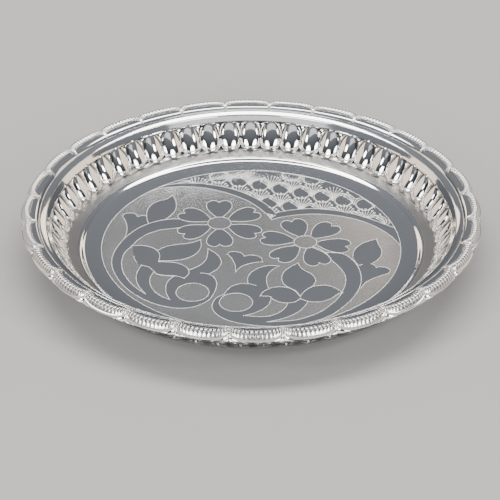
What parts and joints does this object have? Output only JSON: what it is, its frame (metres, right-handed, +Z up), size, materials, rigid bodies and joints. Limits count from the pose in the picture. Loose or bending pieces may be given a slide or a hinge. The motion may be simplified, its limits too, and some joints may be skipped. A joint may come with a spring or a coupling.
{
  "type": "decorative plate",
  "caption": "Round silvered plate with a stepped flat centre, a wall of egg-shaped bosses, a rolled shoulder and a wide scalloped rim under a ribbed arched border.",
  "frame": {"origin": "centre of the flat underside, on the surface that the plate rests on", "axes": "+Z up along the plate's axis; +X and +Y each through the crest of a rim scallop; the picture looks from -Y"},
  "size_m": [0.3, 0.3, 0.0319],
  "materials": {
    "polished_silver": "mirror polished silver plate",
    "engraved_silver": "mirror polished silver plate with frosted, bright-cut floral engraving",
    "border_silver": "polished silver plate, finely ribbed"
  },
  "bodies": {
    "root": {"centre_plate": "engraved_silver", "gallery_wall": "polished_silver", "shoulder_ring": "polished_silver", "rim_flange": "polished_silver", "border_segment_1": "border_silver", "border_segment_2": "border_silver", "border_segment_3": "border_silver", "border_segment_4": "border_silver"}
  },
  "joints": []
}
